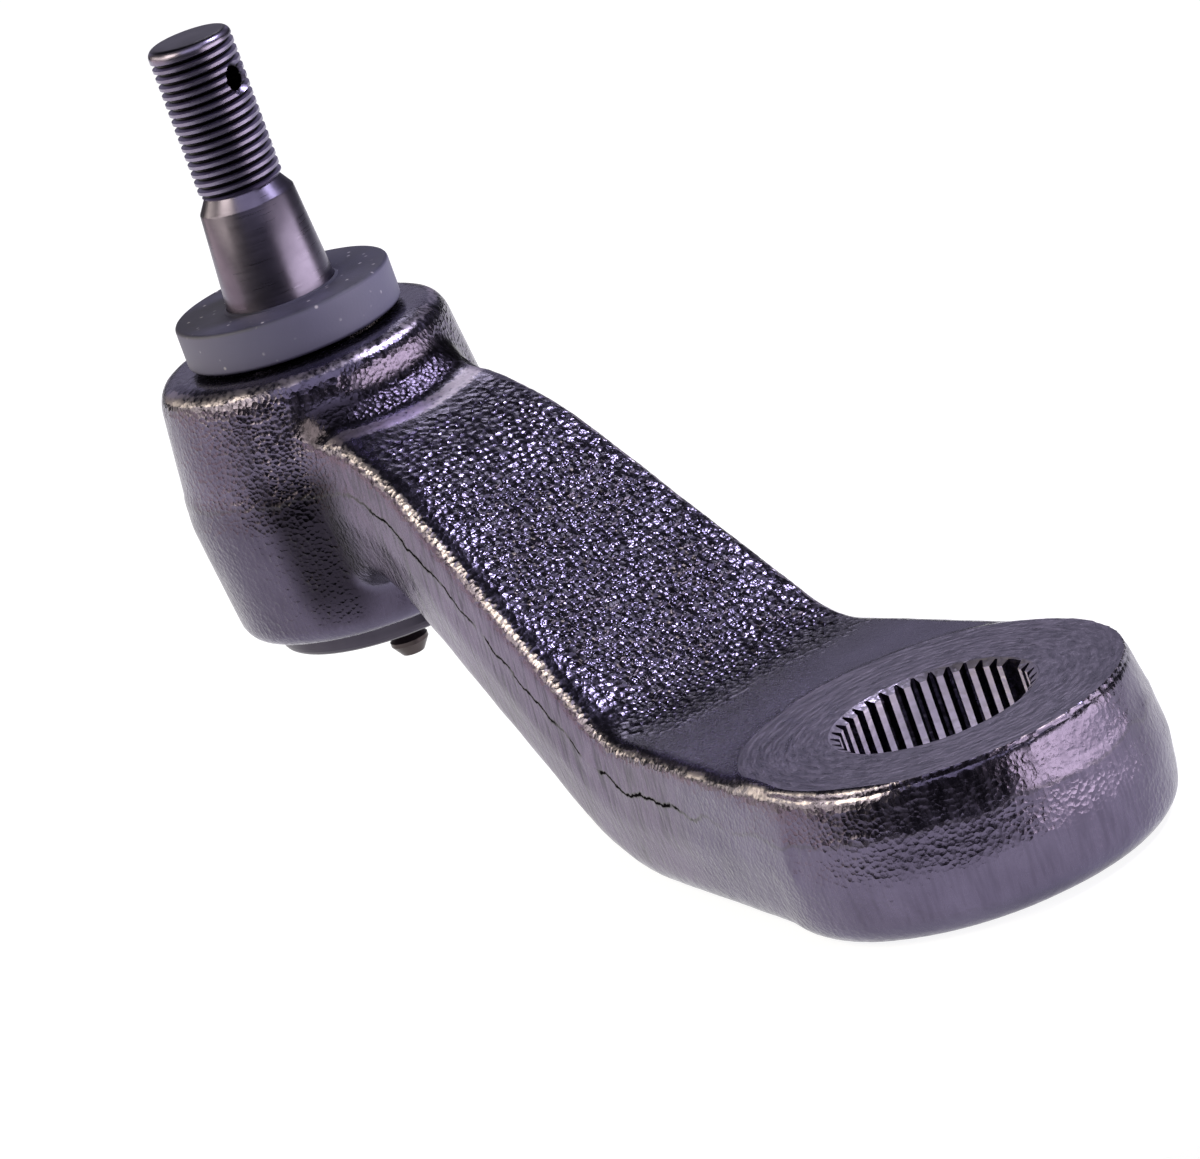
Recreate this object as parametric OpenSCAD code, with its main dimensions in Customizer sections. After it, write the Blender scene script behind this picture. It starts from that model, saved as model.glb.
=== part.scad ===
// Steering pitman arm: a serrated eye for the steering box's shaft, an S-bent forged beam, and a greasable
// ball joint whose tapered stud carries the next link of the steering.
// Frame: origin on the eye's axis at half its height, +X towards the ball stud, +Z along the bore.
// Units are millimetres and degrees.

/* [Eye] */
// Diameter of the eye at the forging's parting plane
eye_d = 63.4; // [60:0.5:72]
// Height of the eye between its two faces
eye_h = 25.5; // [25:0.5:32]
// Height of the eye's parting plane above its middle
eye_parting = -2; // [-4:0.5:-1]
// Round on the upper edge, beside the machined face
eye_top_round = 1.2; // [0.5:0.1:3]
// Round on the lower edge
eye_bottom_round = 5; // [1:0.5:6]

/* [Serrated bore] */
// Diameter across the tips of the teeth
bore_tip_d = 29.4; // [24:0.2:34]
// Depth of the grooves between the teeth
groove_depth = 1.2; // [0.6:0.1:1.8]
// Number of tooth places round the bore
tooth_places = 36; // [24:1:48]
// Width of a tooth's tip as a share of the tooth pitch
tooth_land = 0.42; // [0.35:0.01:0.6]
// Chamfer at both ends of the bore, beyond the grooves
bore_chamfer = 0.3; // [0.2:0.1:1]

/* [Beam] */
// Distance between the eye's axis and the stud's axis
centre_distance = 150; // [140:1:180]
// Height of the ball's centre above the middle of the eye
rise = 42.5; // [32:0.5:50]
// Steepest angle of the S-bend
bend_angle = 37; // [32:0.5:42]
// Radius of the beam's centre line in the bend beside the eye
lower_bend_r = 30; // [24:1:36]
// Radius of the beam's centre line in the bend beside the socket
upper_bend_r = 38; // [30:1:46]
// Distance from the stud's axis back to where the S-bend ends
bend_setback = 20.5; // [14:0.5:26]
// Depth of the beam across its centre line
beam_depth = 24; // [20:0.5:25]
// Width that the beam's straight sides would have at the eye's axis
beam_w_eye = 64; // [56:0.5:66]
// Width that the beam's straight sides would have at the stud's axis
beam_w_socket = 26; // [20:0.5:34]
// Round along the beam's upper edges
beam_top_round = 2.5; // [1:0.25:4]
// Round along the beam's lower edges
beam_bottom_round = 5; // [1:0.25:6]
// Length of the fillets that widen the beam into the socket
root_length = 38; // [25:1:45]
// Growth of the half width over that length
root_flare = 8; // [4:0.5:10]
// Height of the fillets above and below the beam at the socket
root_rise = 3; // [0:0.5:5]
// Draft of the forged walls on both sides of the parting plane
draft_angle = 6; // [3:0.5:8]

/* [Ball socket] */
// Diameter of the socket at the parting plane
socket_d = 53.4; // [48:0.2:58]
// Height of the socket's housing
socket_h = 45; // [43:0.5:52]
// Height of the socket's parting plane above the ball's centre
socket_parting = -1; // [-4:0.5:-0.5]
// Round on the socket's upper edge
socket_top_round = 4; // [1:0.5:4]
// Round on the socket's lower edge
socket_bottom_round = 3.5; // [1:0.5:4]
// Bore of the chamber that holds the bearings
chamber_d = 36.4; // [34:0.2:38]
// Thickness of the housing's top wall, which the stud passes through
lip_t = 9.5; // [7:0.5:11]
// Largest tilt of the stud in any direction
tilt_max = 15; // [5:1:15]

/* [Ball stud] */
// Diameter of the ball
ball_d = 28; // [26:0.2:29]
// Diameter of the flat under the ball
ball_flat_d = 14; // [8:0.5:18]
// Diameter of the neck above the ball
neck_d = 16; // [12:0.5:16]
// Diameter of the taper where it leaves the dust seal
taper_large_d = 18.3; // [17:0.1:19]
// Diameter of the taper's small end
taper_small_d = 15.9; // [15:0.1:16.5]
// Length of the taper above the dust seal
taper_length = 15.9; // [12:0.1:22]
// Diameter of the thread
thread_d = 14; // [12:0.5:14.5]
// Length from the taper's small end to the tip
thread_length = 28.1; // [22:0.1:36]
// Length of the bevel from the taper down to the thread
shoulder_bevel = 2.4; // [1:0.1:3]
// Chamfer at the tip
tip_chamfer = 1.4; // [0.5:0.1:2.5]
// Diameter of the cross hole for a cotter pin
cross_hole_d = 4; // [2:0.1:4.4]
// Distance of the cross hole from the tip
cross_hole_drop = 8; // [5:0.5:11]
// Direction of the cross hole, turned from the X axis
cross_hole_turn = 25; // [0:1:180]

/* [Dust seal] */
// Diameter of the dust seal
seal_d = 36.3; // [32:0.1:42]
// Thickness of the dust seal
seal_t = 7.2; // [5:0.1:10]
// Round on the dust seal's edges
seal_round = 0.7; // [0.2:0.1:1.2]
// Gap between the socket's top and the seal
seal_gap = 0.8; // [0.4:0.1:2]

/* [Bearings and spring] */
// Outer diameter of the lower bearing's grease hole
grease_hole_d = 5; // [3:0.5:8]
// Depth of the lower bearing below the ball's centre
lower_bearing_depth = 15.6; // [15.2:0.1:16.5]
// Half of the gap between the two bearings
bearing_split = 0.6; // [0.2:0.1:2]
// Thickness of the preload spring's disc
spring_t = 1.5; // [1:0.1:2]
// Inner diameter of the preload spring
spring_bore_d = 18; // [14:0.5:22]

/* [Cover and grease fitting] */
// Diameter of the cover plate
cover_d = 39; // [37:0.1:40]
// Depth of the cover plate's seat in the socket
cover_seat = 2; // [1.5:0.1:3]
// Thickness of the cover plate
cover_t = 5.3; // [3.5:0.1:6]
// Round on the cover plate's lower edge
cover_round = 1.4; // [0.5:0.1:2]
// Diameter of the grease fitting's stem
stem_d = 5.2; // [5:0.1:6]
// Diameter of the grease fitting's collar
collar_d = 7; // [6.6:0.1:9]
// Height of the collar
collar_h = 1.8; // [1:0.1:3]
// Diameter of the grease fitting's head
head_d = 6.4; // [6:0.1:7]
// Length of the grease fitting below the cover plate
fitting_length = 8.2; // [7.4:0.1:10]
// Bore of the grease fitting
channel_d = 2.8; // [2.6:0.1:3.2]
// Diameter of the check ball
check_ball_d = 2.4; // [2.1:0.1:2.5]
// Wire diameter of the check spring
check_wire = 0.32; // [0.2:0.02:0.4]
// Turns of the check spring
check_turns = 5; // [3:1:7]

/* [Fits] */
// Clearance all round a piece that is pressed or rolled in place
seat_gap = 0.04; // [0.02:0.01:0.08]
// Clearance all round a piece that turns
running_gap = 0.1; // [0.05:0.01:0.1]

/* [Hidden] */

$fn = 96;
overlap = 1;
full_turn = 360;

// Width of a groove's floor as a share of its mouth
groove_floor = 0.3;

// Steps in a rounded corner and in a bend of the beam, and the spacing of the beam's stations in the socket
round_steps = 4;
bend_steps = 9;
root_step = 2.5;
rings_per_turn = 14;

// Height over which the neck widens into the taper, inside the seal, and the bevel below the first thread
neck_flare = 2.5;
thread_bevel = 0.6;

// Heights below are measured from the ball's centre
socket_top = socket_h / 2;
socket_bottom = -socket_h / 2;
chamber_top = socket_top - lip_t;
seal_bottom = socket_top + seal_gap;
seal_top = seal_bottom + seal_t;
taper_bottom = seal_bottom + neck_flare;
taper_top = seal_top + taper_length;
stud_tip = taper_top + thread_length;
cover_top = socket_bottom + cover_seat;
cover_bottom = cover_top - cover_t;
fitting_tip = cover_bottom - fitting_length;

// The grease fitting's profile
head_h = 2.6;
head_land = 0.7;
head_step = 0.9;
head_cone = 1.3;
collar_bevel = 0.5;
check_lip = 0.35;
check_lip_h = 0.9;
check_seat_h = 0.6;
head_top = fitting_tip + head_h;
collar_bottom = cover_bottom - collar_h;
channel_end = fitting_tip + check_lip_h;

// Where the check ball rests on the edge of the fitting's mouth
check_mouth_r = check_ball_d / 2 - check_lip;
check_ball_z = channel_end + seat_gap + sqrt(pow(check_ball_d / 2, 2) - pow(check_mouth_r, 2));

// The lip clears the neck at its foot, and the flare into the taper at its top, at the stud's largest tilt
lip_room = 0.45;
lip_lower_r = chamber_top * tan(tilt_max) + neck_d / 2 / cos(tilt_max) + lip_room;
lip_upper_r = taper_bottom * sin(tilt_max) + taper_r(taper_bottom) * cos(tilt_max) + lip_room;

// The beam's centre line: level, up a slope, then level again
bend_sin = sin(bend_angle);
bend_cos = cos(bend_angle);
slope_length = (rise - (lower_bend_r + upper_bend_r) * (1 - bend_cos)) / bend_sin;
bend_run = (lower_bend_r + upper_bend_r) * bend_sin + slope_length * bend_cos;
upper_bend_end = centre_distance - bend_setback;
lower_bend_start = upper_bend_end - bend_run;
beam_end = centre_distance - socket_d / 8;
root_start = centre_distance - root_length;
root_top_length = 12;
root_top_start = centre_distance - socket_d / 2 - root_top_length * 2 / 3;

// Colours
paint_black = [0.10, 0.095, 0.11];
steel_dark = [0.26, 0.25, 0.29];
steel_plain = [0.55, 0.54, 0.56];
rubber_grey = [0.33, 0.32, 0.37];
bronze = [0.55, 0.45, 0.30];

// A corner's points, rounded by the radius that its third number gives
function unit(v) = v / norm(v);
function flat(p) = [p[0], p[1]];
function turn_to(a, b) = (b - a) - full_turn * round((b - a) / full_turn);
function corner(before, at, after, r) =
    r == 0 ? [at] :
    let (
        u = unit(before - at),
        v = unit(after - at),
        half = acos(u * v) / 2,
        centre = at + unit(u + v) * r / sin(half),
        first = at + u * r / tan(half) - centre,
        last = at + v * r / tan(half) - centre,
        start = atan2(first[1], first[0]),
        sweep = turn_to(start, atan2(last[1], last[0]))
    )
    [for (i = [0:round_steps]) let (a = start + sweep * i / round_steps) centre + r * [cos(a), sin(a)]];

// An outline of [x, y, radius] corners as plain points
function rounded(pts) = let (n = len(pts)) [
    for (i = [0:n - 1])
        each corner(flat(pts[(i + n - 1) % n]), flat(pts[i]), flat(pts[(i + 1) % n]), pts[i][2])
];

// A solid of revolution from an outline of radii and heights
module turned(pts) {
    rotate_extrude()
        polygon(pts);
}

// Moves its children from the ball's centre to where the ball sits on the arm
module at_ball() {
    translate([centre_distance, 0, rise])
        children();
}

// Stations of the beam: x and z of the centre line, and its slope
function lower_bend() = [
    for (i = [0:bend_steps])
        let (a = bend_angle * i / bend_steps)
            [lower_bend_start + lower_bend_r * sin(a), lower_bend_r * (1 - cos(a)), a]
];
function upper_bend() = [
    for (i = [0:bend_steps])
        let (a = bend_angle * (1 - i / bend_steps))
            [upper_bend_end - upper_bend_r * sin(a), rise - upper_bend_r * (1 - cos(a)), a]
];
stations = concat(
    [[0, 0, 0]],
    lower_bend(),
    upper_bend(),
    [for (x = [upper_bend_end + root_step:root_step:beam_end]) [x, rise, 0]]
);

// How far a fillet has grown at x
function growth(x, start, length, height) = height * pow(min(1, max(0, (x - start) / length)), 2);
function half_width(x) =
    beam_w_eye / 2 + (beam_w_socket - beam_w_eye) / 2 * x / centre_distance
    + growth(x, root_start, root_length, root_flare);
function half_depth(x) = beam_depth / 2 + growth(x, root_top_start, root_top_length, root_rise);

// The beam's section at one station, as [y, distance from the centre line]
function section(at) =
    let (
        d = half_depth(at[0]),
        lost = d * tan(draft_angle),
        shift = d * sin(at[2]),
        top = half_width(at[0] - shift) - lost,
        middle = half_width(at[0]),
        bottom = half_width(at[0] + shift) - lost
    )
    rounded([
        [-bottom, -d, beam_bottom_round], [bottom, -d, beam_bottom_round], [middle, 0, 0],
        [top, d, beam_top_round], [-top, d, beam_top_round], [-middle, 0, 0]
    ]);
function placed(at) = [
    for (p = section(at))
        [at[0] - p[1] * sin(at[2]), p[0], at[1] + p[1] * cos(at[2])]
];

// The S-bent beam, lofted through its stations
module beam() {
    rings = [for (at = stations) placed(at)];
    n = len(rings[0]);
    last = len(rings) - 1;
    sides = [
        for (j = [0:last - 1], i = [0:n - 1])
            let (k = (i + 1) % n)
                each [
                    [j * n + i, (j + 1) * n + k, j * n + k],
                    [j * n + i, (j + 1) * n + i, (j + 1) * n + k]
                ]
    ];
    caps = [[for (i = [0:n - 1]) i], [for (i = [n - 1:-1:0]) last * n + i]];
    polyhedron([for (ring = rings) each ring], concat(sides, caps));
}

// A forged drum about the Z axis, widest at its parting plane and drafted away from it
module drum(d, h, parting, top_round, bottom_round) {
    slant = tan(draft_angle);
    turned(rounded([
        [0, -h / 2, 0], [d / 2 - (h / 2 + parting) * slant, -h / 2, bottom_round], [d / 2, parting, 0],
        [d / 2 - (h / 2 - parting) * slant, h / 2, top_round], [0, h / 2, 0]
    ]));
}

// The eye's bore: grooves between tooth tips, with one tooth left out so that the arm fits one way round
module serrations() {
    pitch = full_turn / tooth_places;
    tip_r = bore_tip_d / 2;
    root_r = tip_r + groove_depth;
    mouth = (1 - tooth_land) * pitch / 2;
    floor_half = mouth * groove_floor;
    inner_r = tip_r - overlap / 2;
    linear_extrude(eye_h + 2 * overlap, center = true) {
        circle(tip_r);
        for (i = [0:tooth_places - 1])
            rotate(-90 + (i + 0.5) * pitch)
                polygon([
                    inner_r * [cos(mouth), -sin(mouth)], root_r * [cos(floor_half), -sin(floor_half)],
                    root_r * [cos(floor_half), sin(floor_half)], inner_r * [cos(mouth), sin(mouth)]
                ]);
        rotate(-90)
            polygon([
                inner_r * [cos(pitch / 2), -sin(pitch / 2)], root_r * [cos(pitch / 2), -sin(pitch / 2)],
                root_r * [1, 0],
                root_r * [cos(pitch / 2), sin(pitch / 2)], inner_r * [cos(pitch / 2), sin(pitch / 2)]
            ]);
    }
    rim_r = root_r + bore_chamfer;
    for (side = [-1, 1])
        translate([0, 0, side * eye_h / 2])
            cylinder(h = 2 * (rim_r - tip_r), r1 = rim_r + side * (tip_r - rim_r),
                r2 = rim_r + side * (rim_r - tip_r), center = true);
}

// The socket's inside: a seat for the cover, the bearings' chamber and the flared lip
module chamber() {
    seat_r = cover_d / 2 + seat_gap;
    lip_slope = (lip_upper_r - lip_lower_r) / lip_t;
    turned([
        [0, socket_bottom - overlap], [seat_r, socket_bottom - overlap], [seat_r, cover_top],
        [chamber_d / 2, cover_top], [chamber_d / 2, chamber_top], [lip_lower_r, chamber_top],
        [lip_upper_r + overlap * lip_slope, socket_top + overlap], [0, socket_top + overlap]
    ]);
}

module arm() {
    color(paint_black)
        difference() {
            union() {
                drum(eye_d, eye_h, eye_parting, eye_top_round, eye_bottom_round);
                at_ball()
                    drum(socket_d, socket_h, socket_parting, socket_top_round, socket_bottom_round);
                beam();
            }
            serrations();
            at_ball()
                chamber();
        }
}

// The seat above the ball, pressed up against the lip
module upper_bearing() {
    color(bronze)
        at_ball()
            difference() {
                turned([
                    [lip_lower_r, bearing_split], [chamber_d / 2 - seat_gap, bearing_split],
                    [chamber_d / 2 - seat_gap, chamber_top], [lip_lower_r, chamber_top]
                ]);
                sphere(ball_d / 2 + running_gap);
            }
}

// The seat under the ball, which turns in the chamber
module lower_bearing() {
    color(bronze)
        at_ball()
            difference() {
                turned([
                    [grease_hole_d / 2, -lower_bearing_depth],
                    [chamber_d / 2 - running_gap, -lower_bearing_depth],
                    [chamber_d / 2 - running_gap, -bearing_split], [grease_hole_d / 2, -bearing_split]
                ]);
                sphere(ball_d / 2 + running_gap);
            }
}

// A coned disc that presses the lower bearing up from the cover plate
module preload_spring() {
    top = -lower_bearing_depth - running_gap;
    inner_r = spring_bore_d / 2;
    outer_r = chamber_d / 2 - 4 * running_gap;
    color(steel_plain)
        at_ball()
            turned([
                [outer_r - spring_t / 2, cover_top], [outer_r, cover_top], [outer_r, cover_top + spring_t],
                [inner_r + spring_t / 2, top], [inner_r, top], [inner_r, top - spring_t]
            ]);
}

module cover_plate() {
    stem_r = stem_d / 2 + seat_gap;
    color(steel_dark)
        at_ball()
            turned(rounded([
                [stem_r, cover_bottom, 0], [cover_d / 2, cover_bottom, cover_round],
                [cover_d / 2, cover_top, 0], [stem_r, cover_top, 0]
            ]));
}

module grease_fitting() {
    neck_r = head_d / 2 - head_step;
    color(steel_plain)
        at_ball()
            turned([
                [channel_d / 2, cover_top], [stem_d / 2, cover_top], [stem_d / 2, cover_bottom],
                [collar_d / 2, cover_bottom], [collar_d / 2, collar_bottom + collar_bevel],
                [collar_d / 2 - collar_bevel, collar_bottom], [neck_r, collar_bottom],
                [neck_r, head_top + head_step], [head_d / 2, head_top], [head_d / 2, head_top - head_land],
                [head_d / 2 - head_cone, fitting_tip], [check_mouth_r, fitting_tip],
                [check_mouth_r, channel_end], [channel_d / 2, channel_end + check_seat_h]
            ]);
}

module check_ball() {
    color(steel_plain)
        at_ball()
            translate([0, 0, check_ball_z])
                sphere(check_ball_d / 2);
}

// A coil of wire from the check ball up to the fitting's inner end, with a closed tube for its wire
module check_spring() {
    ring_sides = 8;
    ring_count = check_turns * rings_per_turn;
    coil_r = min(channel_d / 2 - check_wire / 2 - running_gap, 0.45 * (check_ball_d + check_wire));
    foot = check_ball_z + sqrt(pow(check_ball_d / 2 + check_wire / 2, 2) - coil_r * coil_r);
    length = cover_top - check_wire - foot;
    points = [
        for (i = [0:ring_count], j = [0:ring_sides - 1])
            let (
                turn = full_turn * check_turns * i / ring_count,
                around = full_turn * j / ring_sides,
                r = coil_r + check_wire / 2 * cos(around)
            )
            [r * cos(turn), r * sin(turn), foot + length * i / ring_count + check_wire / 2 * sin(around)]
    ];
    sides = [
        for (i = [0:ring_count - 1], j = [0:ring_sides - 1])
            let (k = (j + 1) % ring_sides, a = i * ring_sides, b = a + ring_sides)
                each [[a + j, a + k, b + k], [a + j, b + k, b + j]]
    ];
    caps = [
        [for (j = [ring_sides - 1:-1:0]) j],
        [for (j = [0:ring_sides - 1]) ring_count * ring_sides + j]
    ];
    color(steel_plain)
        at_ball()
            polyhedron(points, concat(sides, caps));
}

// The taper's radius at a height
function taper_r(h) =
    taper_large_d / 2 + (taper_small_d - taper_large_d) / 2 * (h - seal_top) / taper_length;

module ball_stud() {
    flat_drop = sqrt(pow(ball_d / 2, 2) - pow(ball_flat_d / 2, 2));
    thread_r = thread_d / 2;
    color(steel_dark)
        at_ball()
            difference() {
                union() {
                    sphere(ball_d / 2);
                    turned([
                        [0, 0], [neck_d / 2, 0], [neck_d / 2, seal_bottom],
                        [taper_r(taper_bottom), taper_bottom],
                        [taper_small_d / 2, taper_top], [thread_r - thread_bevel, taper_top + shoulder_bevel],
                        [thread_r, taper_top + shoulder_bevel + thread_bevel],
                        [thread_r, stud_tip - tip_chamfer],
                        [thread_r - tip_chamfer, stud_tip], [0, stud_tip]
                    ]);
                }
                translate([0, 0, -flat_drop - ball_d])
                    cylinder(h = ball_d, d = ball_d * 2);
                translate([0, 0, stud_tip - cross_hole_drop])
                    rotate([0, 0, cross_hole_turn])
                        rotate([0, 90, 0])
                            cylinder(h = 2 * thread_d, d = cross_hole_d, center = true);
            }
}

module dust_seal() {
    bore_r = taper_r(taper_bottom) + running_gap;
    color(rubber_grey)
        at_ball()
            turned(rounded([
                [bore_r, seal_bottom, 0], [seal_d / 2, seal_bottom, seal_round],
                [seal_d / 2, seal_top, seal_round], [taper_r(seal_top) + running_gap, seal_top, 0],
                [bore_r, taper_bottom, 0]
            ]));
}

arm();
upper_bearing();
lower_bearing();
preload_spring();
cover_plate();
grease_fitting();
check_ball();
check_spring();
ball_stud();
dust_seal();
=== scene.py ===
import bpy
import math
from mathutils import Matrix, Vector, noise


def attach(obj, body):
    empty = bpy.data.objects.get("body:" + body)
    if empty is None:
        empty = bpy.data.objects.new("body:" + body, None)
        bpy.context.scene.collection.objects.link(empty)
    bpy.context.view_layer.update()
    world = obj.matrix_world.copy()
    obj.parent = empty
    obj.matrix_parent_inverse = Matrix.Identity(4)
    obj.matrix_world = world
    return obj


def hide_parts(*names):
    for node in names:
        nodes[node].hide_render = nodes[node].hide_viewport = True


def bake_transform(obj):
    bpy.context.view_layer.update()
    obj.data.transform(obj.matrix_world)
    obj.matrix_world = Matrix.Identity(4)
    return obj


mm = 0.001
jointX, jointZ = 150, 42.5  # mm, the ball's centre, which the arm, the stud and the seal share
scene = bpy.context.scene
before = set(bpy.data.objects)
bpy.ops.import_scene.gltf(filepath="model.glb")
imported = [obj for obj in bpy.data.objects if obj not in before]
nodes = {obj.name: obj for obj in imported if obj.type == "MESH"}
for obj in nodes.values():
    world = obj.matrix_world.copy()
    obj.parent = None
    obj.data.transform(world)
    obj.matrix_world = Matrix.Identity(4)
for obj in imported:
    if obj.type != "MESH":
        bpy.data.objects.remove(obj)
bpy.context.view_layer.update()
bpy.ops.object.select_all(action="DESELECT")
print("stage: frame loaded,", len(nodes), "CAD nodes")


# small tools for every piece

def hexColour(code):  # sRGB hex to linear RGBA
    parts = [int(code[i:i + 2], 16) / 255 for i in (1, 3, 5)]
    return [c / 12.92 if c <= 0.04045 else ((c + 0.055) / 1.055) ** 2.4 for c in parts] + [1.0]


def focus(piece):
    if bpy.context.object and bpy.context.object.mode != "OBJECT":
        bpy.ops.object.mode_set(mode="OBJECT")
    bpy.ops.object.select_all(action="DESELECT")
    piece.select_set(True)
    bpy.context.view_layer.objects.active = piece


def lastMade(name):  # the primitive that was just added
    piece = bpy.context.object
    piece.name = piece.data.name = name
    return piece


def useModifier(piece, kind, **settings):  # add, set and apply one modifier
    focus(piece)
    modifier = piece.modifiers.new(kind.lower(), kind)
    for key, value in settings.items():
        setattr(modifier, key, value)
    bpy.ops.object.modifier_apply(modifier=modifier.name)


def carve(piece, cutter):  # cut one closed shape out of another
    useModifier(piece, "BOOLEAN", object=cutter, operation="DIFFERENCE", solver="MANIFOLD")
    bpy.data.objects.remove(cutter)


def refineFaces(piece, rule):  # split the faces that a rule on place and normal picks
    focus(piece)
    bpy.ops.object.mode_set(mode="EDIT")
    bpy.ops.mesh.select_mode(type="FACE")
    bpy.ops.mesh.select_all(action="DESELECT")
    bpy.ops.object.mode_set(mode="OBJECT")
    for face in piece.data.polygons:
        face.select = rule(face.center / mm, face.normal) > 0.05
    bpy.ops.object.mode_set(mode="EDIT")
    bpy.ops.mesh.subdivide(number_cuts=1, smoothness=0)
    bpy.ops.object.mode_set(mode="OBJECT")


def turnProfile(name, profile, steps=96, axisX=0, closed=True):  # spin an outline of (radius, height) in mm
    bpy.ops.object.select_all(action="DESELECT")
    bpy.ops.mesh.primitive_circle_add(vertices=len(profile), radius=mm, fill_type="NOTHING")
    piece = lastMade(name)
    for vertex, (radius, height) in zip(piece.data.vertices, profile):
        vertex.co = (axisX * mm + radius * mm, 0, height * mm)
    bpy.ops.object.mode_set(mode="EDIT")
    if not closed:  # open the outline where it meets the axis
        bpy.ops.mesh.select_mode(type="EDGE")
        bpy.ops.mesh.select_all(action="DESELECT")
        bpy.ops.object.mode_set(mode="OBJECT")
        last = len(profile) - 1
        for edge in piece.data.edges:
            edge.select = set(edge.vertices) == {0, last}
        bpy.ops.object.mode_set(mode="EDIT")
        bpy.ops.mesh.delete(type="EDGE")
    bpy.ops.mesh.select_mode(type="VERT")
    bpy.ops.mesh.select_all(action="SELECT")
    bpy.ops.mesh.spin(steps=steps, angle=math.tau, center=(axisX * mm, 0, 0), axis=(0, 0, 1))
    bpy.ops.mesh.select_all(action="SELECT")
    bpy.ops.mesh.remove_doubles(threshold=0.001 * mm)
    bpy.ops.mesh.normals_make_consistent(inside=False)
    bpy.ops.object.mode_set(mode="OBJECT")
    return piece


def dress(piece, material, degrees):  # smooth faces up to an angle, and one finish all over
    focus(piece)
    bpy.ops.object.shade_smooth_by_angle(angle=math.radians(degrees))
    piece.data.materials.clear()
    piece.data.materials.append(material)
    for face in piece.data.polygons:
        face.material_index = 0


def weigh(piece, name, rule):  # a vertex group from a rule on place and normal
    group = piece.vertex_groups.new(name=name)
    for vertex in piece.data.vertices:
        weight = min(rule(vertex.co / mm, vertex.normal), 1.0)
        if weight > 0.001:
            group.add([vertex.index], weight, "REPLACE")


def paint(piece, name, rule, faces=False):  # a number at each point or face, which the material reads
    layer = piece.data.attributes.new(name, "FLOAT", "FACE" if faces else "POINT")
    for i, spot in enumerate(piece.data.polygons if faces else piece.data.vertices):
        place = spot.center if faces else spot.co
        layer.data[i].value = min(max(rule(place / mm, spot.normal), 0.0), 1.0)


def ramp(value, low, high):  # smooth step from 0 at low to 1 at high
    t = min(max((value - low) / (high - low), 0.0), 1.0)
    return t * t * (3 - 2 * t)


def between(value, rise, fall):  # 1 from the end of rise to the start of fall, with soft edges
    return ramp(value, *rise) * (1 - ramp(value, *fall))


def drift(p, size, mean, swing):  # slow, irregular change from place to place, size in mm
    return mean + swing * noise.noise(p / size)


def cloud(name, kind, size):  # a procedural pattern for Displace, size in mm
    pattern = bpy.data.textures.new(name, kind)
    pattern.noise_scale = size * mm
    if kind == "CLOUDS":
        pattern.noise_depth = 1
        pattern.noise_basis = "IMPROVED_PERLIN"
    else:
        pattern.distance_metric = "DISTANCE_SQUARED"  # rounded grains
    return pattern


# materials

colourA, colourB, mixedColour = 6, 7, 2  # a Mix node's colour sockets
floatA, floatB = 2, 3  # and its number sockets


def startMaterial(name):
    material = bpy.data.materials.new(name)
    material.use_nodes = True
    return material, material.node_tree, material.node_tree.nodes["Principled BSDF"]


def addNode(tree, kind, inputs=(), out=0, **settings):  # one node with its settings, values and links
    node = tree.nodes.new("ShaderNode" + kind)
    for key, value in settings.items():
        setattr(node, key, value)
    for key, value in inputs.items() if isinstance(inputs, dict) else enumerate(inputs):
        if isinstance(value, bpy.types.NodeSocket):
            tree.links.new(value, node.inputs[key])
        else:
            node.inputs[key].default_value = value
    return node.outputs[out]


seamReach = 12  # mm of height that the seam's number runs over

forgingLook = {  # sizes and depths in mm
    # the dark soot tone is painted shade, and also the colour of the drag streaks
    # the walls' mauve tone is a painted sheen
    # the worn tone is wear, and a painted highlight
    "skin": "#706a81", "skinDark": "#4b475a", "wallSheen": "#8a728e", "shadeTone": "#2b2731", "wornHighlight": "#bdb3c4",
    # the groove colour is painted shade in the bore's grooves
    "crack": "#0d0b0f", "bare": "#7f788c", "land": "#eee6fb", "groove": "#221f27",
    "wallSheenShare": 0.25, "dragShare": 0.6, "markShare": 0.85, "landMarkShare": 0.15,
    "smooth": 0.15, "rough": 0.33, "wornRough": 0.36, "faceSmooth": 0.27, "faceRough": 0.38, "tipRough": 0.28,
    "peelSize": 1.3, "blotchSize": 9, "chipSize": 0.9, "gapSize": 7, "pitSize": 1.4, "finerCells": 1.8,
    "streakWidth": 0.8, "streakLength": 14,  # real drag marks are finer, and are drawn coarser to show
    "toolMark": 0.8, "toolArc": 7,  # so are the tool marks on the cut face; their noise runs 7 mm per radian
    "peelDeep": 0.1, "streakDeep": 0.05, "pitDeep": 0.9, "leatherDeep": 0.45, "toolDeep": 0.22,
    "finePart": 0.05, "crackHalf": 0.168, "crackFade": 0.432, "crackJag": 0.84, "chipReach": 1.3,
}


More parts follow.
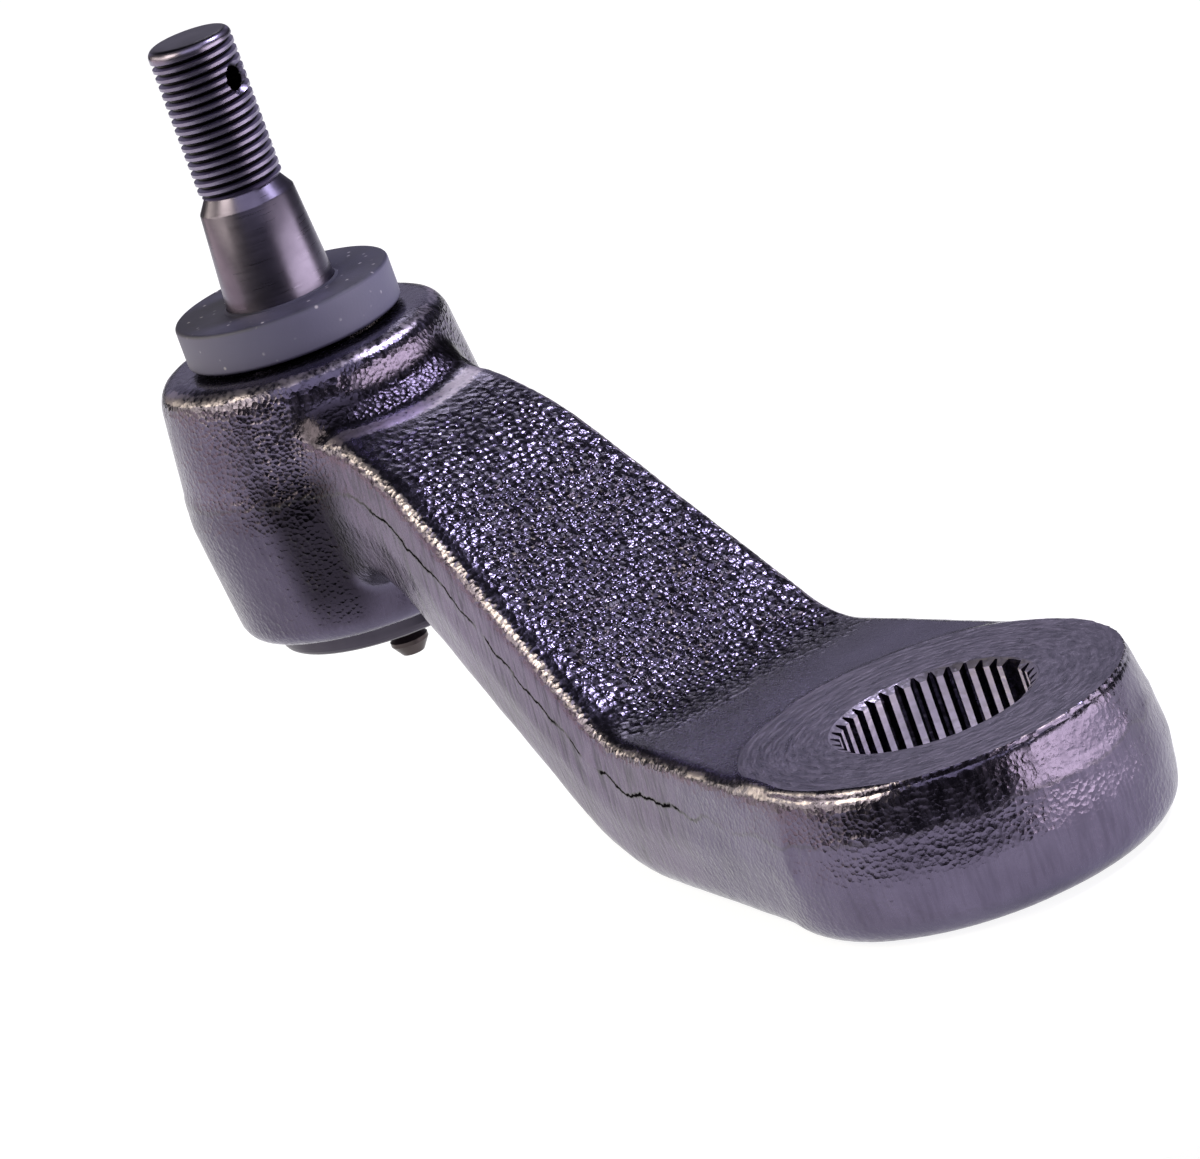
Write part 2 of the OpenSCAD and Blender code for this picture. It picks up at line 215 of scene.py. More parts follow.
def forgingMaterial():
    # black oxide on forged steel, oiled: dark mirror with a violet cast, grainy where the die left scale
    look = forgingLook
    colours = {key: hexColour(value) for key, value in look.items() if isinstance(value, str)}
    material, tree, shader = startMaterial("blackOxideForging")
    place = addNode(tree, "TexCoord", out="Object")
    share = {}  # what the rules of the arm painted
    for name in ("pitted", "leather", "walls", "seam", "lap", "shadeTone", "wearAndHighlight", "machined", "land"):
        share[name] = addNode(tree, "Attribute", out="Fac", attribute_name=name)
    grain = {}
    for name, detail in (("peel", 3.0), ("blotch", 4.0), ("chip", 3.0), ("gap", 2.0)):
        scale = 1 / (look[name + "Size"] * mm)
        grain[name] = addNode(tree, "TexNoise", {"Vector": place, "Scale": scale, "Detail": detail})
    # streaks down the walls
    stretch = (1, 1, look["streakWidth"] / look["streakLength"])
    along = addNode(tree, "Mapping", {"Vector": place, "Scale": stretch})
    streakScale = 1 / (look["streakWidth"] * mm)
    streak = addNode(tree, "TexNoise", {"Vector": along, "Scale": streakScale, "Detail": 2.0})
    # rounded grains of scale, with finer cells on them
    pitScale = 1 / (look["pitSize"] * mm)
    fine = addNode(tree, "TexVoronoi", {"Vector": place, "Scale": look["finerCells"] * pitScale})
    cells = addNode(tree, "Math", [fine, 2.0], operation="POWER")
    pits = addNode(tree, "TexVoronoi", {"Vector": place, "Scale": pitScale})
    pits = addNode(tree, "Math", [pits, 2.0], operation="POWER")
    pits = addNode(tree, "Math", [fine, look["finePart"], pits], operation="MULTIPLY_ADD")
    # tool marks round the bore: noise on radius and angle
    flat = addNode(tree, "VectorMath", [place, (1, 1, 0)], operation="MULTIPLY")
    radius = addNode(tree, "VectorMath", [flat], "Value", operation="LENGTH")
    x, y, z = addNode(tree, "SeparateXYZ", [place]).node.outputs
    turn = addNode(tree, "Math", [y, x], operation="ARCTAN2")
    sweep = addNode(tree, "Math", [turn, look["toolArc"] * mm], operation="MULTIPLY")
    polar = addNode(tree, "CombineXYZ", [radius, sweep, z])
    marks = addNode(tree, "TexNoise", {"Vector": polar, "Scale": 1 / (look["toolMark"] * mm), "Detail": 3.0})
    # the cut face: painted shade in the grooves, bare face and bright tooth lands
    cut = addNode(tree, "ValToRGB", [share["land"]])
    cut.node.color_ramp.elements[0].color = colours["groove"]
    cut.node.color_ramp.elements[1].color = colours["land"]
    cut.node.color_ramp.elements.new(0.5).color = colours["bare"]
    dark = addNode(tree, "MapRange", [marks, 0.35, 0.65, look["markShare"], 0.0])
    onFace = addNode(tree, "MapRange", [share["land"], 0.55, 0.65, 1.0, look["landMarkShare"]])
    dark = addNode(tree, "Math", [dark, onFace], operation="MULTIPLY")
    cut = addNode(tree, "Mix", {"Factor": dark, colourA: cut, colourB: colours["skinDark"]}, mixedColour,
                  data_type="RGBA")
    # the seam's crack: a thin, jagged line with gaps
    jag, half, fade = (look[key] / seamReach for key in ("crackJag", "crackHalf", "crackFade"))
    off = addNode(tree, "Math", [grain["chip"], jag, share["seam"]], operation="MULTIPLY_ADD")
    off = addNode(tree, "Math", [off, 0.5 + jag / 2], operation="SUBTRACT")
    off = addNode(tree, "Math", [off], operation="ABSOLUTE")
    crack = addNode(tree, "MapRange", [off, half, fade, 1.0, 0.0])
    gaps = addNode(tree, "MapRange", [grain["gap"], 0.3, 0.42])
    gaps = addNode(tree, "Math", [gaps, share["lap"]], operation="MULTIPLY")
    crack = addNode(tree, "Math", [crack, gaps], operation="MULTIPLY")
    # colour: the skin, then one layer over another
    # painted sheen: the side walls are painted a lighter mauve than the top
    sheenOnWalls = addNode(tree, "Math", [share["walls"], look["wallSheenShare"]], operation="MULTIPLY")
    # drag streaks down the walls, in the same dark tone as the painted shade
    drag = addNode(tree, "MapRange", [streak, 0.34, 0.55, look["dragShare"], 0.0])
    drag = addNode(tree, "Math", [drag, share["walls"]], operation="MULTIPLY")
    # wear and a painted highlight on the upper edges, and a painted highlight before the socket
    chip = addNode(tree, "Math", [share["wearAndHighlight"], look["chipReach"], grain["chip"]], operation="MULTIPLY_ADD")
    wearAndHighlight = addNode(tree, "MapRange", [chip, 1.0, 1.3])  # grainy where the wear and the painted highlight are half on
    shade = colours["skinDark"]
    for amount, colour in (
            (grain["blotch"], colours["skin"]), (sheenOnWalls, colours["wallSheen"]), (drag, colours["shadeTone"]),
            (share["shadeTone"], colours["shadeTone"]), (wearAndHighlight, colours["wornHighlight"]), (share["machined"], cut),
            (crack, colours["crack"])):
        shade = addNode(tree, "Mix", {"Factor": amount, colourA: shade, colourB: colour}, mixedColour,
                        data_type="RGBA")
    tree.links.new(shade, shader.inputs["Base Color"])
    # roughness: streaks on the walls, dull tool marks on the cut face
    rough = addNode(tree, "MapRange", [streak, 0.3, 0.7, look["smooth"], look["rough"]])
    rough = addNode(tree, "Mix", {"Factor": wearAndHighlight, floatA: rough, floatB: look["wornRough"]})
    dull = addNode(tree, "MapRange", [marks, 0.3, 0.7, look["faceSmooth"], look["faceRough"]])
    tip = addNode(tree, "MapRange", [share["land"], 0.6, 0.9, 0.0, look["tipRough"]])
    dull = addNode(tree, "Math", [dull, tip], operation="ADD")
    rough = addNode(tree, "Mix", {"Factor": share["machined"], floatA: rough, floatB: dull})
    tree.links.new(rough, shader.inputs["Roughness"])
    shut = addNode(tree, "Math", [1.0, crack], operation="SUBTRACT")  # an open crack mirrors nothing
    tree.links.new(shut, shader.inputs["Metallic"])
    tree.links.new(shut, shader.inputs["Specular IOR Level"])
    # relief: orange peel all over, then streaks, scale, leather and tool marks, each in its own place
    bump = addNode(tree, "Bump", {"Height": grain["peel"], "Distance": look["peelDeep"] * mm})
    for pattern, where, deep in ((streak, "walls", "streakDeep"), (pits, "pitted", "pitDeep"),
                                 (cells, "leather", "leatherDeep"), (marks, "machined", "toolDeep")):
        height = addNode(tree, "Math", [pattern, share[where]], operation="MULTIPLY")
        bump = addNode(tree, "Bump", {"Height": height, "Distance": look[deep] * mm, "Normal": bump})
    tree.links.new(bump, shader.inputs["Normal"])
    return material


steelLooks = {  # light and dark colour, roughness, mm between turning marks (drawn coarser than real)
    "oiledTurnedSteel": ("#948da8", "#69637a", 0.3, 0.25),  # dark grey sheen, painted shade in the thread
    "pressedSteelCover": ("#4f4b56", "#413d48", 0.33, 0.5),  # an even, darker grey
    "platedSteelNipple": ("#554c4d", "#3b3536", 0.3, 0.3),  # dull and a little warm
    "bluedSpringSteel": ("#8a8790", "#6f6c76", 0.3, 0.4),  # clean, cool grey
    "sinteredBronze": ("#a5855a", "#86683f", 0.42, 0.4),  # matt gold brown
}
# the oil colour paints shade in the thread's roots and the cross hole
steelShared = {"oilShade": "#0d0b0e", "stainSize": 4, "roundStretch": 0.03, "ringDeep": 0.001}  # sizes in mm


def steelMaterial(name, light, dark, rough, turning):
    # worked metal: fine rings round the axis, darker stains, and a near-black tone where the piece is painted
    # for shade and oil
    look = steelShared
    material, tree, shader = startMaterial(name)
    place = addNode(tree, "TexCoord", out="Object")
    stain = addNode(tree, "TexNoise", {"Vector": place, "Scale": 1 / (look["stainSize"] * mm), "Detail": 4.0})
    oilyShade = addNode(tree, "Attribute", out="Fac", attribute_name="oilyShade")
    oilyShade = addNode(tree, "MapRange", [oilyShade, 0.5, 0.95])
    shade = hexColour(dark)
    for amount, colour in ((stain, light), (oilyShade, look["oilShade"])):
        shade = addNode(tree, "Mix", {"Factor": amount, colourA: shade, colourB: hexColour(colour)},
                        mixedColour, data_type="RGBA")
    tree.links.new(shade, shader.inputs["Base Color"])
    stretch = (look["roundStretch"], look["roundStretch"], 1)
    rings = addNode(tree, "Mapping", {"Vector": place, "Scale": stretch})
    lathe = addNode(tree, "TexNoise", {"Vector": rings, "Scale": 1 / (turning * mm), "Detail": 2.0})
    rub = addNode(tree, "MapRange", [lathe, 0.3, 0.7, rough - 0.03, rough + 0.05])
    tree.links.new(rub, shader.inputs["Roughness"])
    shader.inputs["Metallic"].default_value = 1.0
    bump = addNode(tree, "Bump", {"Height": lathe, "Distance": look["ringDeep"] * mm})
    tree.links.new(bump, shader.inputs["Normal"])
    return material


rubberLook = {  # sizes in mm
    # the dust tone lightens the outer wall: dust, and painted light
    "dark": "#1f1f29", "bloom": "#42405a", "dust": "#64627f", "speck": "#a9a4b0", "rough": 0.55,
    "bloomSize": 6, "speckGap": 2.4, "patchSize": 3, "grainSize": 0.5, "grainDeep": 0.02,
}


def rubberMaterial():
    # moulded nitrile rubber: satin grey with a blotchy bloom, an outer wall painted lighter than the top with
    # dust and painted light, and a few pale specks
    look = rubberLook
    material, tree, shader = startMaterial("nitrileRubber")
    place = addNode(tree, "TexCoord", out="Object")
    bloom = addNode(tree, "TexNoise", {"Vector": place, "Scale": 1 / (look["bloomSize"] * mm), "Detail": 5.0})
    dusty = addNode(tree, "Attribute", out="Fac", attribute_name="dusty")
    speck = addNode(tree, "TexVoronoi", {"Vector": place, "Scale": 1 / (look["speckGap"] * mm)})
    dots = addNode(tree, "MapRange", [speck, 0.07, 0.16, 1.0, 0.0])
    patch = addNode(tree, "TexNoise", {"Vector": place, "Scale": 1 / (look["patchSize"] * mm), "Detail": 1.0})
    some = addNode(tree, "MapRange", [patch, 0.5, 0.6])
    dots = addNode(tree, "Math", [dots, some], operation="MULTIPLY")
    shade = hexColour(look["dark"])
    for amount, colour in ((bloom, "bloom"), (dusty, "dust"), (dots, "speck")):
        shade = addNode(tree, "Mix", {"Factor": amount, colourA: shade, colourB: hexColour(look[colour])},
                        mixedColour, data_type="RGBA")
    tree.links.new(shade, shader.inputs["Base Color"])
    shader.inputs["Roughness"].default_value = look["rough"]
    grain = addNode(tree, "TexNoise", {"Vector": place, "Scale": 1 / (look["grainSize"] * mm), "Detail": 2.0})
    bump = addNode(tree, "Bump", {"Height": grain, "Distance": look["grainDeep"] * mm})
    tree.links.new(bump, shader.inputs["Normal"])
    return material


forging = forgingMaterial()
steels = {name: steelMaterial(name, *look) for name, look in steelLooks.items()}
rubber = rubberMaterial()
print("stage: materials made")


# the arm: its CAD skin, closed, remeshed and worked like a forging, then bored

armSet = {  # mm and degrees
    "voxel": 1.0, "eyeTop": 12.75, "ball": (jointX, jointZ), "socketTop": 65, "socketFoot": 20,
    "bendStart": 50.35, "lowerBend": 30, "upperBend": 38, "slope": 37, "slopeLength": 47.87, "bendEnd": 129.5,
    "halfWidth": 32, "halfTaper": 0.1267,  # half the beam's width at the bore, and what it loses per mm
    "boreTip": 14.7, "grooveDepth": 1.2, "places": 36, "land": 0.42, "grooveFloor": 0.3, "missingAt": -90,
    "seatR": 19.54, "seatTop": 22, "chamberR": 18.2, "chamberTop": 55.5, "lipFoot": 12.215, "lipTop": 16.31,
    "faceCut": 31.5, "faceShift": -1.3, "faceDeep": 0.45, "boreRim": 16.2, "mouthDeep": 0.8,
    "borePlugR": 17.5, "socketPlugR": 21, "cutterTall": 34, "cutterFoot": -16, "faceCutterTall": 20,
    "over": 2, "slack": 0.1, "levelNormal": 0.97,
    "troughDeep": 0.8, "bandDeep": 0.6, "bandReach": 8, "ridgeHigh": 0.22,
    "pitDeep": 0.3, "pitGrain": 1.9, "waveHigh": 0.25, "waveSize": 14,
    "settle": 5, "filletSettle": 40, "rimSettle": 16,  # rounds of smoothing
    "seamLevel": 4.6, "seamRise": 0.6, "seamFall": 2.2,  # over the beam's middle, more up the slope, then less
    "seamWave": (5.5, 1.1), "seamJitter": (1.9, 0.5),  # how long and how high the seam wanders
    "corner": (131, 20), "cornerR": 9, "cheek": (-4, 30), "cheekR": 19,  # places seen from above
    "calmEnd": (-20, 8, 3), "patchStop": 5,
}

zone = {  # soft edges, each from and to
    # mm along X from the bore's axis
    "eyeLean": (-4, 20), "eyeRim": (-2, 22), "seamUp": (20, 60), "seamDown": (110, 135),
    "sideStart": (10, 30), "beamStart": (24, 44), "beamEnd": (118, 128), "socketStart": (120, 130),
    "socketWall": (118, 126), "filletStop": (136, 144),
    "lapOpen": (22, 34), "lapShut": (112, 126), "bendShade": (35, 42), "bendShadeEnd": (52, 62),
    "pitsStart": (41, 56), "pitsThin": (86, 110), "pitsEnd": (114, 127),
    # mm out from the bore's axis, then from the socket's
    "eyeRimOut": (27, 29),
    "shoulderRim": (20.5, 22.5), "filletIn": (22, 24), "filletOut": (32, 37), "cornerIn": (24, 25.5),
    "dripIn": (23.3, 24.3), "dripOut": (28.5, 29.5), "rootIn": (24.5, 25.5), "rootOut": (28.3, 29.3),
    "troughIn": (26, 28.8), "troughOut": (29.2, 33.6), "bandIn": (28.8, 29.8), "bandOut": (32.5, 34.5),
    "socketSkin": (29, 33), "pitsClear": (33.5, 38),
    # mm over the beam's middle, mm from the seam, then mm up Z
    "pitsRise": (8, 10.5), "ridgeFade": (0.3, 1.5), "patchRise": (1.2, 2.2),
    "eyeRimUp": (8, 11), "cheekUp": (5, 9), "wallLow": (44, 48), "beamTop": (46, 50), "cornerUp": (46, 52),
    "filletUp": (46, 51), "filletTop": (59, 62), "leatherUp": (50, 53), "rootUp": (50, 54),
    "shoulderUp": (60, 62.5),
    # degrees round the socket, then round the eye
    "stripStart": (119, 127), "stripEnd": (138, 146), "patchStart": (103, 118), "patchEnd": (158, 166),
}


def forgingHeight(p):  # height above the middle of the S-bend, in mm, along its own normal
    s = armSet
    angle = math.radians(s["slope"])
    low = Vector((s["bendStart"], s["lowerBend"]))
    high = Vector((s["bendEnd"], s["ball"][1] - s["upperBend"]))
    at = Vector((p.x, p.z))
    if at.x <= low.x:
        return p.z
    turn = math.atan2(at.x - low.x, low.y - at.y)
    if 0 <= turn <= angle:
        return s["lowerBend"] - (at - low).length
    foot = low + s["lowerBend"] * Vector((math.sin(angle), -math.cos(angle)))
    run = (at - foot).dot(Vector((math.cos(angle), math.sin(angle))))
    if run <= s["slopeLength"]:
        return (at - foot).dot(Vector((-math.sin(angle), math.cos(angle))))
    back = math.atan2(high.x - at.x, at.y - high.y)
    if 0 <= back <= angle:
        return (at - high).length - s["upperBend"]
    return p.z - s["ball"][1]


def socketReach(p):  # mm out from the socket's axis
    return math.hypot(p.x - armSet["ball"][0], p.y)


def beamward(p):  # 1 on the side of the socket that faces the beam
    return ramp(armSet["ball"][0] - 10 - p.x, 0, 5)


def aboveSeam(p):  # mm above the line where the two dies met, which wanders a little
    s = armSet
    level = s["seamLevel"] + s["seamRise"] * ramp(p.x, *zone["seamUp"])
    level -= s["seamFall"] * ramp(p.x, *zone["seamDown"])
    (waveSize, wave), (jitterSize, jitter) = s["seamWave"], s["seamJitter"]
    return forgingHeight(p) - (drift(p, waveSize, level, wave) + drift(p, jitterSize, 0, jitter))


def seamShare(p, normal):  # a half on the seam, more above it
    return 0.5 + aboveSeam(p) / seamReach


def wallShare(p, normal):  # 1 on the side walls, 0 on the top and bottom
    return ramp(1 - abs(normal.z), 0.5, 0.85)


def dragShare(p, normal):  # the dies dragged the beam's walls most
    return wallShare(p, normal) * (0.3 + 0.7 * between(p.x, zone["beamStart"], zone["beamEnd"]))


def leatherShare(p, normal):  # fine leathery grain round the eye and the socket, and along the beam's edges
    eye = 1 - ramp(p.x, *zone["beamStart"])
    socket = ramp(p.x, *zone["socketStart"])
    patchy = drift(p, 9.0, 0.8, 0.6)
    x, y, z = armSet["calmEnd"]
    if p.x < x and p.y < y and p.z > z:  # calmer on the eye's end, above the seam
        patchy *= 0.45
    root = ramp(normal.z, 0.15, 0.35) * beamward(p) * ramp(p.z, *zone["leatherUp"])
    root *= ramp(socketReach(p), *zone["rootIn"])
    wall = ramp(1 - abs(normal.z), 0.2, 0.7) * (0.22 * eye + 0.32 * socket) * patchy * (1 - root)
    edge = 0.35 * (1 - eye) * (1 - socket) * between(normal.z, (0.2, 0.4), (0.7, 0.9))
    turn = math.degrees(math.atan2(abs(p.y), p.x - armSet["ball"][0]))
    strip = socket * between(turn, zone["stripStart"], zone["stripEnd"]) * wallShare(p, normal)
    return max(wall, edge, strip * drift(p, 5.0, 0.5, 0.4))


def rootTrough(p, normal):  # the beam's top levels out just before the socket
    ring = between(socketReach(p), zone["troughIn"], zone["troughOut"])
    return ramp(normal.z, 0.3, 0.6) * ring * beamward(p) * ramp(p.z, *zone["beamTop"])


def sideLean(p, normal):  # how far a spot faces sideways, not along the beam
    alongBeam = between(p.x, zone["sideStart"], zone["beamEnd"])
    return math.hypot(normal.x * (1 - alongBeam), normal.y)


def sideShare(p, normal):  # 1 on faces that look sideways
    return ramp(sideLean(p, normal), 0.45, 0.75)


def wearHighlightShare(p, normal):  # lighter on the upper edges, where the black is rubbed thin and a painted highlight lies, and a painted highlight in a band just before the socket
    reach = socketReach(p)
    edge = between(sideLean(p, normal), (0.3, 0.45), (0.82, 0.92)) * ramp(normal.z, 0.1, 0.25)
    edge *= 1 - beamward(p) * between(reach, zone["dripIn"], zone["dripOut"]) * ramp(p.z, *zone["rootUp"])
    band = ramp(normal.z, 0.6, 0.8) * between(reach, zone["bandIn"], zone["bandOut"])
    band *= beamward(p) * ramp(p.z, *zone["beamTop"])
    return max(edge * drift(p, 6.0, 0.52, 0.3), 0.62 * band)


def upperBand(p, normal):  # the eye's wall leans in above the seam
    rise = min(max(aboveSeam(p) / armSet["bandReach"], 0), 1)
    return sideShare(p, normal) * (1 - ramp(p.x, *zone["eyeLean"])) * rise


def seamRidge(p, normal):  # the trimmed flash
    near = 1 - ramp(abs(aboveSeam(p)), *zone["ridgeFade"])
    return sideShare(p, normal) * near * drift(p, 6.0, 0.5, 0.4)


def pittedField(p, normal):  # the sloping top, strongest in its middle
    h = forgingHeight(p)
    if h < zone["pitsRise"][0] or normal.z < 0.35:
        return 0.0
    along = between(p.x, zone["pitsStart"], zone["pitsEnd"]) * (1 - 0.45 * ramp(p.x, *zone["pitsThin"]))
    side = p.y / (armSet["halfWidth"] - armSet["halfTaper"] * p.x)  # from -1 to 1 across the beam
    across = 1 - ramp(side, 0.55, 0.88) - 0.8 * ramp(-side, 0.7, 1.0)
    clear = ramp(socketReach(p), *zone["pitsClear"]) * ramp(h, *zone["pitsRise"])
    return along * max(across, 0) * drift(p, 7.0, 0.8, 0.5) * clear


def machinedFace(p, normal):  # the cut face of the eye and the walls of its bore
    s = armSet
    reach = math.hypot(p.x - s["faceShift"], p.y)
    level = abs(p.z - s["eyeTop"] + s["faceDeep"]) < s["slack"] / 2
    onFace = level and reach < s["faceCut"] + 2 * s["slack"] and normal.z > s["levelNormal"]
    inBore = math.hypot(p.x, p.y) < s["boreRim"] + s["slack"] and abs(normal.z) < s["levelNormal"]
    return 1.0 if onFace or inBore else 0.0


def toothLand(p, normal):  # bright tips of the broached teeth, painted shade in the grooves
    reach = math.hypot(p.x, p.y)
    if reach > armSet["boreRim"] or abs(normal.z) > 0.95:
        return 0.5  # the bare face
    if abs(normal.z) > 0.3:
        return 0.66  # the bore's chamfers
    return 1.0 if reach < armSet["boreTip"] + armSet["slack"] else 0.0


def paintedShadeShare(p, normal):  # painted shade in the corner between beam and socket, on the socket's lower walls, on a patch of the eye's wall, in the socket's root and past the lower bend
    reach = socketReach(p)
    onSocket = ramp(p.x, *zone["socketWall"]) * (1 - ramp(reach, *zone["socketSkin"]))
    low = 0.35 * onSocket * (1 - ramp(p.z, *zone["wallLow"]))
    x, y = armSet["corner"]
    fromCorner = math.hypot(p.x - x, abs(p.y) - y) / armSet["cornerR"]
    corner = (1 - ramp(fromCorner, 0.4, 1.3)) * (1 - ramp(p.z, *zone["cornerUp"]))
    corner *= ramp(reach, *zone["cornerIn"])
    angle = math.degrees(math.atan2(p.y, p.x))
    patch = between(angle, zone["patchStart"], zone["patchEnd"]) * ramp(aboveSeam(p), *zone["patchRise"])
    patch *= p.x < armSet["patchStop"]
    onWall = max(corner, low, 0.65 * patch) * wallShare(p, normal)
    root = between(normal.z, (0.25, 0.4), (0.85, 0.93)) * between(reach, zone["rootIn"], zone["rootOut"])
    root *= ramp(p.z, *zone["rootUp"])
    bend = ramp(normal.z, 0.5, 0.8) * between(p.x, zone["bendShade"], zone["bendShadeEnd"])
    bend *= drift(p, 8.0, 0.8, 0.5)
    return max(onWall, 0.92 * root, 0.55 * bend)


def lapShare(p, normal):  # the seam is open along the beam, and closed up round the eye and socket
    return 0.25 + 0.75 * between(p.x, zone["lapOpen"], zone["lapShut"])


def filletZone(p, normal):  # where the beam's top runs up into the socket, and the cheek beside the eye
    root = between(socketReach(p), zone["filletIn"], zone["filletOut"]) * (1 - ramp(p.x, *zone["filletStop"]))
    root *= between(p.z, zone["filletUp"], zone["filletTop"])
    x, y = armSet["cheek"]
    fromCheek = math.hypot(p.x - x, p.y - y) / armSet["cheekR"]
    return max(root, 0.85 * (1 - ramp(fromCheek, 0.6, 1.0)) * ramp(p.z, *zone["cheekUp"]))


def rimZone(p, normal):  # the rounded edge of the eye and the socket's shoulder
    eye = ramp(math.hypot(p.x, p.y), *zone["eyeRimOut"]) * (1 - ramp(p.x, *zone["eyeRim"]))
    eye *= ramp(p.z, *zone["eyeRimUp"])
    shoulder = ramp(socketReach(p), *zone["shoulderRim"]) * ramp(p.z, *zone["shoulderUp"])
    return max(eye, shoulder)


def boreCutter():  # the toothed hole, with one tooth left out
    s = armSet
    pitch = 360 / s["places"]
    mouth = (1 - s["land"]) * pitch / 2
    floor = mouth * s["grooveFloor"]
    tip, root = s["boreTip"], s["boreTip"] + s["grooveDepth"]
    outline = []
    for i in range(s["places"]):
        middle = s["missingAt"] + pitch / 2 + i * pitch
        outline += [(tip, middle - mouth), (root, middle - floor)]
        outline += [(root, middle + floor), (tip, middle + mouth)]
    outline[-1] = (root, s["missingAt"] - 0.3 + 360)
    outline[0] = (root, s["missingAt"] + 0.3)
    bpy.ops.object.select_all(action="DESELECT")
    bpy.ops.mesh.primitive_circle_add(vertices=len(outline), radius=mm, fill_type="NGON")
    cutter = lastMade("boreCutter")
    for vertex, (radius, angle) in zip(cutter.data.vertices, outline):
        a = math.radians(angle)
        vertex.co = (radius * mm * math.cos(a), radius * mm * math.sin(a), s["cutterFoot"] * mm)
    bpy.ops.object.mode_set(mode="EDIT")
    bpy.ops.mesh.select_all(action="SELECT")
    bpy.ops.mesh.extrude_region_move(TRANSFORM_OT_translate={"value": (0, 0, s["cutterTall"] * mm)})
    bpy.ops.mesh.select_all(action="SELECT")
    bpy.ops.mesh.normals_make_consistent(inside=False)
    bpy.ops.object.mode_set(mode="OBJECT")
    return cutter


def chamberCutter():  # the socket's inside, from the cover's seat to the flared lip
    s = armSet
    under, above = s["socketFoot"] - s["over"], s["socketTop"] + s["over"]
    flare = (s["lipTop"] - s["lipFoot"]) / (s["socketTop"] - s["chamberTop"])
    inside = [(0, under), (s["seatR"], under), (s["seatR"], s["seatTop"]), (s["chamberR"], s["seatTop"]),
              (s["chamberR"], s["chamberTop"]), (s["lipFoot"], s["chamberTop"]),
              (s["lipTop"] + s["over"] * flare, above), (0, above)]
    return turnProfile("chamberCutter", inside, axisX=s["ball"][0], closed=False)


def shapeArm(arm):  # remesh the skin, then round, sink and raise what the hammer and the dies left
    s = armSet
    focus(arm)
    bpy.ops.object.mode_set(mode="EDIT")
    bpy.ops.mesh.select_all(action="SELECT")
    bpy.ops.mesh.remove_doubles(threshold=0.0001 * mm)
    # plugs close the bore and the socket before the remesh
    tall = s["socketTop"] - s["socketFoot"]
    for x, z, radius, depth in ((0, 0, s["borePlugR"], 2 * s["eyeTop"]),
                                (s["ball"][0], s["socketFoot"] + tall / 2, s["socketPlugR"], tall)):
        bpy.ops.mesh.primitive_cylinder_add(vertices=64, radius=radius * mm, depth=depth * mm,
                                            location=(x * mm, 0, z * mm))
    bpy.ops.object.mode_set(mode="OBJECT")
    useModifier(arm, "REMESH", mode="VOXEL", voxel_size=s["voxel"] * mm)
    useModifier(arm, "SMOOTH", factor=0.5, iterations=s["settle"])
    print("stage: arm remeshed,", len(arm.data.polygons), "faces")
    weigh(arm, "fillet", filletZone)
    useModifier(arm, "SMOOTH", factor=0.5, iterations=s["filletSettle"], vertex_group="fillet")
    weigh(arm, "trough", rootTrough)
    useModifier(arm, "DISPLACE", strength=-s["troughDeep"] * mm, mid_level=0, vertex_group="trough")
    refineFaces(arm, rimZone)
    weigh(arm, "rim", rimZone)
    useModifier(arm, "SMOOTH", factor=0.5, iterations=s["rimSettle"], vertex_group="rim")
    weigh(arm, "band", upperBand)
    useModifier(arm, "DISPLACE", strength=-s["bandDeep"] * mm, mid_level=0, vertex_group="band")
    weigh(arm, "ridge", seamRidge)
    useModifier(arm, "DISPLACE", strength=s["ridgeHigh"] * mm, mid_level=0, vertex_group="ridge")
    refineFaces(arm, pittedField)  # finer faces where the scale is coarse
    weigh(arm, "pits", pittedField)
    useModifier(arm, "DISPLACE", strength=-s["pitDeep"] * mm, mid_level=0.25, vertex_group="pits",
                texture=cloud("scaleCoarse", "VORONOI", s["pitGrain"]), texture_coords="LOCAL")
    useModifier(arm, "DISPLACE", strength=s["waveHigh"] * mm, mid_level=0.5,
                texture=cloud("hammerWave", "CLOUDS", s["waveSize"]), texture_coords="LOCAL")
    print("stage: arm textured")


def boreArm(arm):  # the cut face, the toothed bore with its chamfers, and the socket's inside
    s = armSet
    faceLevel = s["eyeTop"] - s["faceDeep"]
    bpy.ops.object.select_all(action="DESELECT")
    tall = s["faceCutterTall"]
    bpy.ops.mesh.primitive_cylinder_add(vertices=128, radius=s["faceCut"] * mm, depth=tall * mm,
                                        location=(s["faceShift"] * mm, 0, (faceLevel + tall / 2) * mm))
    carve(arm, lastMade("faceCutter"))
    carve(arm, boreCutter())
    lead = s["boreRim"] - s["boreTip"]
    for end, level in ((1, faceLevel), (-1, -s["eyeTop"])):
        bpy.ops.object.select_all(action="DESELECT")
        bpy.ops.mesh.primitive_cone_add(vertices=144, radius1=(s["boreRim"] - end * lead) * mm,
                                        radius2=(s["boreRim"] + end * lead) * mm,
                                        depth=2 * s["mouthDeep"] * mm, location=(0, 0, level * mm))
        carve(arm, lastMade("mouthCutter"))
    carve(arm, chamberCutter())


def makeArm():
    arm = bpy.data.objects.new("armForging", nodes["arm"].data.copy())
    scene.collection.objects.link(arm)
    arm.data.materials.clear()
    shapeArm(arm)
    boreArm(arm)
    pointRules = {"pitted": pittedField, "leather": leatherShare, "walls": dragShare, "seam": seamShare,
                  "shadeTone": paintedShadeShare, "wearAndHighlight": wearHighlightShare, "lap": lapShare}
    for name, rule in pointRules.items():
        paint(arm, name, rule)
    paint(arm, "machined", machinedFace, faces=True)
    paint(arm, "land", toothLand, faces=True)
    dress(arm, forging, 40)
    for face in arm.data.polygons:  # the cut face stays flat to its edge
        if face.normal.z > armSet["levelNormal"] and machinedFace(face.center / mm, face.normal):
            face.use_smooth = False
    arm.vertex_groups.clear()
    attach(arm, "housing")
    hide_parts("arm")
    print("stage: arm done,", len(arm.data.polygons), "faces")


makeArm()


# the ball stud: turned, threaded and cross drilled

